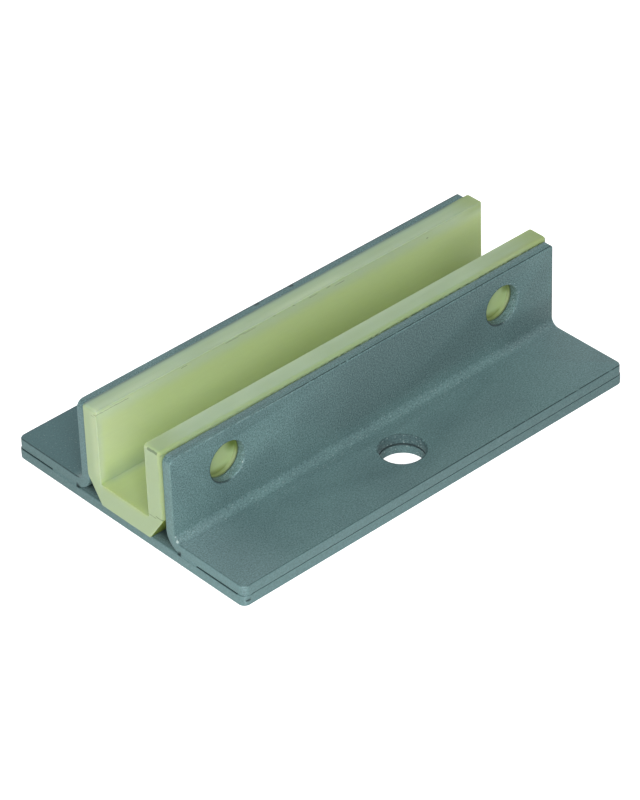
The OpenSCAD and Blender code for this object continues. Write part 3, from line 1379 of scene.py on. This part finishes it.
@dataclass
class AngleBracket:
    """Sheet steel folded to an angle: a flange on the plate and a wall beside the liner."""

    flange_corner_radius: float = 1.8 * MM
    wall_corner_radius: float = 2 * MM
    wall_tip_radius: float = 0.6 * MM
    edge_radius: float = 0.3 * MM
    fold_steps: int = 16

    def fold_sheet(self, name: str) -> bpy.types.Object:
        """Makes the bare angle on the left side, without holes.

        Args:
            name: Name of the piece.

        Returns:
            The angle.
        """
        low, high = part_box(Side.LEFT.value)
        flange_low = Vector((low.x, LAYOUT.fold_y, low.z))
        flange_high = Vector((high.x, high.y, low.z + LAYOUT.sheet))
        angle = Bench.block(name, flange_low, flange_high)
        Bench.pick_faces(angle, lambda centre, normal: near(centre.y, LAYOUT.fold_y))
        fold = (0, LAYOUT.fold_y, LAYOUT.fold_z)
        bpy.ops.mesh.spin(steps=self.fold_steps, angle=math.pi / 2, center=fold, axis=ALONG)
        rise = (0, 0, high.z - LAYOUT.fold_z)
        bpy.ops.mesh.extrude_region_move(TRANSFORM_OT_translate={"value": rise})
        Bench.close()
        Bench.round_edges(
            angle,
            lambda a, b: near(a.y, high.y) and near(b.y, high.y) and near(a.x, b.x),
            self.flange_corner_radius,
            CORNER_STEPS,
        )
        for x, radius in ((low.x, self.wall_corner_radius), (high.x, self.wall_tip_radius)):
            Bench.round_edges(
                angle,
                lambda a, b: near(a.z, high.z) and near(b.z, high.z) and near(a.x, x) and near(b.x, x),
                radius,
                CORNER_STEPS,
            )
        return angle

    def punch(self, angle: bpy.types.Object) -> None:
        """Cuts the mounting hole and the two wall holes.

        Args:
            angle: Bare angle on the left side.
        """
        for x in (-LAYOUT.wall_hole_x, 0, LAYOUT.wall_hole_x):
            Bench.split(angle, x * ALONG, ALONG, lambda centre, normal: abs(normal.x) < 1 - FACING)
        reach = 3 * LAYOUT.sheet
        mount = Vector((0, LAYOUT.mount_y, 1.5 * LAYOUT.sheet))
        Bench.cut(angle, Bench.rod(mount, LAYOUT.mount_radius, reach, Axis.Z))
        for end in (-1, 1):
            y = LAYOUT.wall_face - LAYOUT.sheet / 2
            centre = Vector((end * LAYOUT.wall_hole_x, y, LAYOUT.wall_hole_z))
            Bench.cut(angle, Bench.rod(centre, LAYOUT.wall_hole_radius, reach, Axis.Y))

    def build(self, paint: bpy.types.Material) -> dict[Side, bpy.types.Object]:
        """Makes both brackets, the right one as a mirrored copy of the left one.

        Args:
            paint: Paint of the brackets.

        Returns:
            The brackets by side.
        """
        left = self.fold_sheet("angle_left")
        self.punch(left)
        Bench.ease(left, self.edge_radius)
        Bench.finish(left)
        right = Bench.mirrored_copy(left, "angle_right")
        pair = {Side.LEFT: left, Side.RIGHT: right}
        for side, piece in pair.items():
            dress(piece, paint, side.value)
        return pair


@dataclass
class SeamWelds:
    """Short welds in the seam between plate and flange, at both ends of each bracket."""

    node: str = "seam_welds"
    long_bead: float = 8.5 * MM
    short_bead: float = 5.2 * MM
    half_height: float = 0.42 * MM
    depth: float = 0.5 * MM
    overlap: float = 0.3 * MM
    cuts: int = 9
    ripple: float = 0.08 * MM
    ripple_grain: float = 0.9 * MM
    ripple_level: float = 0.45
    smooth_angle: float = math.radians(60)

    def bead(self, side: int, end: int, length: float) -> bpy.types.Object:
        """Makes one bead.

        Args:
            side: 1 for the left bracket, -1 for the right one.
            end: -1 or 1 for the end of the bracket.
            length: Length of the bead from the fold outwards.

        Returns:
            The bead.
        """
        outer, inner = end * LAYOUT.half_length, end * (LAYOUT.bracket_end - self.depth)
        start, stop = side * (LAYOUT.fold_y - self.overlap), side * (LAYOUT.fold_y + length)
        low = Vector((min(outer, inner), min(start, stop), LAYOUT.sheet - self.half_height))
        high = Vector((max(outer, inner), max(start, stop), LAYOUT.sheet + self.half_height))
        bead = Bench.block(f"bead_{side}_{end}", low, high)
        Bench.pick_edges(
            bead, lambda a, b: all(near(p.x, outer) and near(p.z, high.z) for p in (a, b))
        )
        inset = (end * (LAYOUT.bracket_end - LAYOUT.half_length), 0, 0)
        bpy.ops.transform.translate(value=inset)
        Bench.close()
        Bench.edit(bead, "FACE")
        bpy.ops.mesh.select_all(action="SELECT")
        bpy.ops.mesh.subdivide(number_cuts=self.cuts)
        Bench.close()
        clouds = bpy.data.textures.new("ripple", "CLOUDS")
        clouds.noise_scale = self.ripple_grain
        bpy.ops.object.modifier_add(type="DISPLACE")
        modifier = bead.modifiers[-1]
        modifier.texture = clouds
        modifier.strength = self.ripple
        modifier.mid_level = self.ripple_level
        bpy.ops.object.modifier_apply(modifier=modifier.name)
        return bead

    def build(self, paint: bpy.types.Material) -> bpy.types.Object:
        """Makes all four beads as one piece.

        Args:
            paint: Paint over the welds.

        Returns:
            The welds.
        """
        beads = [
            self.bead(side, end, self.long_bead if end == -side else self.short_bead)
            for side in (-1, 1)
            for end in (-1, 1)
        ]
        welds = Bench.join(beads, "welds")
        Bench.finish(welds, self.smooth_angle)
        dress(welds, paint, self.node)
        return welds


@dataclass
class GuideLiner:
    """One-piece plastic channel between the bracket walls."""

    node: str = "guide_liner"
    chamfer_width: float = 5 * MM
    chamfer_height: float = 7.4 * MM
    wall_edge_radius: float = 0.9 * MM
    wall_edge_steps: int = 5
    edge_radius: float = 0.15 * MM
    edge_steps: int = 3
    sharp_angle: float = math.radians(30)
    recess_depth: float = 1.2 * MM

    def channel(self, name: str) -> bpy.types.Object:
        """Makes the bare channel: a floor with two walls and chamfered lower edges.

        Args:
            name: Name of the piece.

        Returns:
            The channel.
        """
        low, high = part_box(self.node)
        floor = LAYOUT.channel_floor
        bar = Bench.block(name, low, Vector((high.x, high.y, floor)))
        for side in (-1, 1):
            inner = side * LAYOUT.channel_half * ACROSS
            Bench.split(bar, inner, ACROSS, lambda centre, normal: near(centre.z, floor))
        Bench.pick_faces(
            bar, lambda centre, normal: near(centre.z, floor) and abs(centre.y) > LAYOUT.channel_half
        )
        bpy.ops.mesh.extrude_region_move(TRANSFORM_OT_translate={"value": (0, 0, high.z - floor)})
        Bench.close()
        for side in (-1, 1):
            shoulder = Vector((0, side * high.y, low.z + self.chamfer_height))
            outward = Vector((0, side * self.chamfer_height, -self.chamfer_width))
            Bench.trim(bar, shoulder, outward)
        for x in (-LAYOUT.wall_hole_x, LAYOUT.wall_hole_x):
            Bench.split(bar, x * ALONG, ALONG, lambda centre, normal: near(abs(centre.y), high.y))
        return bar

    def is_round(self, start: Vector, stop: Vector, high: Vector) -> bool:
        """Tells which edges of the walls are well rounded: all but those along the channel and at its mouth.

        Args:
            start: One end of an edge.
            stop: Its other end.
            high: Upper corner of the liner's box.

        Returns:
            True if the edge is well rounded.
        """
        if max(start.z, stop.z) < high.z - MM:
            return False
        across_top = near(start.x, stop.x) and abs(start.x) < high.x - MM
        at_channel = near(abs(start.y), LAYOUT.channel_half) and near(start.y, stop.y)
        on_plus_end = near(start.x, high.x) and near(stop.x, high.x)
        return not across_top and (not at_channel or on_plus_end)

    def is_cusp(self, start: Vector, stop: Vector, high: Vector) -> bool:
        """Tells which edges run into the sharp tips that the floor has beside the round +X ends of the walls.

        Args:
            start: One end of an edge.
            stop: Its other end.
            high: Upper corner of the liner's box.

        Returns:
            True if the edge is one of them.
        """
        level = near(start.z, LAYOUT.channel_floor) and near(stop.z, LAYOUT.channel_floor)
        return level and min(start.x, stop.x) > high.x - self.wall_edge_radius - SAME_PLACE

    def build(self, plastic: bpy.types.Material) -> bpy.types.Object:
        """Makes the liner.

        Args:
            plastic: Plastic of the liner.

        Returns:
            The liner.
        """
        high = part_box(self.node)[1]
        liner = self.channel("liner")
        Bench.round_edges(
            liner, lambda a, b: self.is_round(a, b, high), self.wall_edge_radius, self.wall_edge_steps
        )
        for side in (-1, 1):
            for end in (-1, 1):
                centre = Vector((end * LAYOUT.wall_hole_x, side * high.y, LAYOUT.wall_hole_z))
                tool = Bench.rod(centre, LAYOUT.wall_hole_radius, 2 * self.recess_depth, Axis.Y)
                Bench.cut(liner, tool)
        Bench.ease(
            liner, self.edge_radius, self.edge_steps, self.sharp_angle,
            lambda a, b: self.is_cusp(a, b, high),
        )
        Bench.finish(liner)
        dress(liner, plastic, self.node)
        return liner


@dataclass(frozen=True)
class Lamp:
    """Square soft light that shines at the object.

    Attributes:
        name: Name of the light.
        azimuth: Turn about the upright axis in degrees, 0 for the front.
        elevation: Rise above the floor in degrees.
        distance: Distance from the object.
        size: Side of the light.
        power: Power in watts.
    """

    name: str
    azimuth: float
    elevation: float
    distance: float
    size: float
    power: float


@dataclass
class Studio:
    """White studio with soft light from the front and the camera of the portrait."""

    azimuth: float = -41.1759
    elevation: float = 36.0889
    roll: float = -2.1935
    target: Vector = Vector((-8.594, -2.9826, 12.9)) * MM
    distance: float = 897.1304 * MM
    focal_pixels: float = 3897.4692
    centre_pixel: tuple[float, float] = (303.4186, 394.7503)
    sensor: float = 36.0
    near_clip: float = 0.01
    floor_size: float = 6.0
    floor_gap: float = 0.05 * MM
    floor_white: Colour = (0.86, 0.86, 0.86, 1.0)
    floor_glow: Span = (0.36, 0.86)
    fill: Span = (0.12, 1.0)
    lamps: tuple[Lamp, ...] = (
        Lamp("front_light", -40, 36, 1.25, 0.62, 9.6),
        Lamp("left_light", -72, 26, 0.6, 0.25, 1.1),
        Lamp("right_light", 95, 14, 0.9, 0.45, 1.6),
        Lamp("upper_light", 15, 60, 1.0, 0.5, 1.2),
        Lamp("back_light", 165, 20, 0.9, 0.45, 1.5),
    )

    def camera(self) -> bpy.types.Object:
        """Makes the camera.

        Returns:
            The camera.
        """
        back = heading(self.azimuth, self.elevation)
        right = (-back).cross(Vector((0, 0, 1))).normalized()
        up = right.cross(-back)
        roll = math.radians(self.roll)
        side = right * math.cos(roll) + up * math.sin(roll)
        top = up * math.cos(roll) - right * math.sin(roll)
        lens = bpy.data.cameras.new("camera")
        width, height = PIXEL_SIZE
        lens.sensor_width = self.sensor
        lens.lens = self.focal_pixels * self.sensor / height
        lens.shift_x = (width / 2 - self.centre_pixel[0]) / height
        lens.shift_y = (self.centre_pixel[1] - height / 2) / height
        lens.clip_start = self.near_clip
        camera = bpy.data.objects.new("camera", lens)
        turn = Matrix((side, top, back)).transposed().to_4x4()
        camera.matrix_world = Matrix.Translation(self.target + back * self.distance) @ turn
        bpy.context.scene.collection.objects.link(camera)
        bpy.context.scene.camera = camera
        return camera

    def light(self, lamp: Lamp) -> bpy.types.Object:
        """Hangs up one lamp.

        Args:
            lamp: The lamp.

        Returns:
            The light.
        """
        data = bpy.data.lights.new(lamp.name, "AREA")
        data.size = lamp.size
        data.energy = lamp.power
        light = bpy.data.objects.new(lamp.name, data)
        direction = heading(lamp.azimuth, lamp.elevation)
        light.location = self.target + direction * lamp.distance
        light.rotation_euler = (-direction).to_track_quat("-Z", "Y").to_euler()
        bpy.context.scene.collection.objects.link(light)
        return light

    def floor(self) -> bpy.types.Object:
        """Lays the white floor, which glows a little and keeps a soft shadow.

        Returns:
            The floor.
        """
        Bench.clear()
        bpy.ops.mesh.primitive_plane_add(size=self.floor_size, location=(0, 0, -self.floor_gap))
        floor = bpy.context.object
        floor.name = "floor"
        material = bpy.data.materials.new("white_floor")
        graph = Graph(material)
        path = graph.add("ShaderNodeLightPath")
        diffuse = graph.add("ShaderNodeBsdfDiffuse", Color=self.floor_white)
        seen = path.outputs["Is Camera Ray"]
        glow = graph.add("ShaderNodeEmission", Strength=graph.span(seen, *self.floor_glow))
        sum_of_both = graph.add("ShaderNodeAddShader")
        graph.feed(sum_of_both.inputs, (diffuse.outputs["BSDF"], glow.outputs["Emission"]))
        graph.surface(sum_of_both.outputs["Shader"], "ShaderNodeOutputMaterial")
        floor.data.materials.append(material)
        return floor

    def surroundings(self) -> None:
        """Fills the studio with even light before a white background."""
        world = bpy.data.worlds.new("studio")
        graph = Graph(world)
        path = graph.add("ShaderNodeLightPath").outputs
        seen = graph.most(path["Is Camera Ray"], path["Is Glossy Ray"], path["Is Transmission Ray"])
        strength = graph.span(seen, *self.fill)
        white = graph.add("ShaderNodeBackground", Color=(1.0, 1.0, 1.0, 1.0), Strength=strength)
        graph.surface(white.outputs["Background"], "ShaderNodeOutputWorld")
        bpy.context.scene.world = world

    def build(self) -> None:
        """Sets up camera, light and floor."""
        bpy.context.scene.view_settings.view_transform = "Standard"
        self.camera()
        self.floor()
        self.surroundings()
        for lamp in self.lamps:
            self.light(lamp)


def main() -> None:
    """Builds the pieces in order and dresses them."""
    logging.basicConfig(level=logging.INFO, format="%(name)s: %(message)s")
    paint = SteelPaint().material()
    BasePlate().build(paint)
    AngleBracket().build(paint)
    SeamWelds().build(SteelPaint(name="weld_paint", has_seam=False).material())
    GuideLiner().build(LinerPlastic().material())
    Studio().build()


if __name__ == "__main__":
    main()
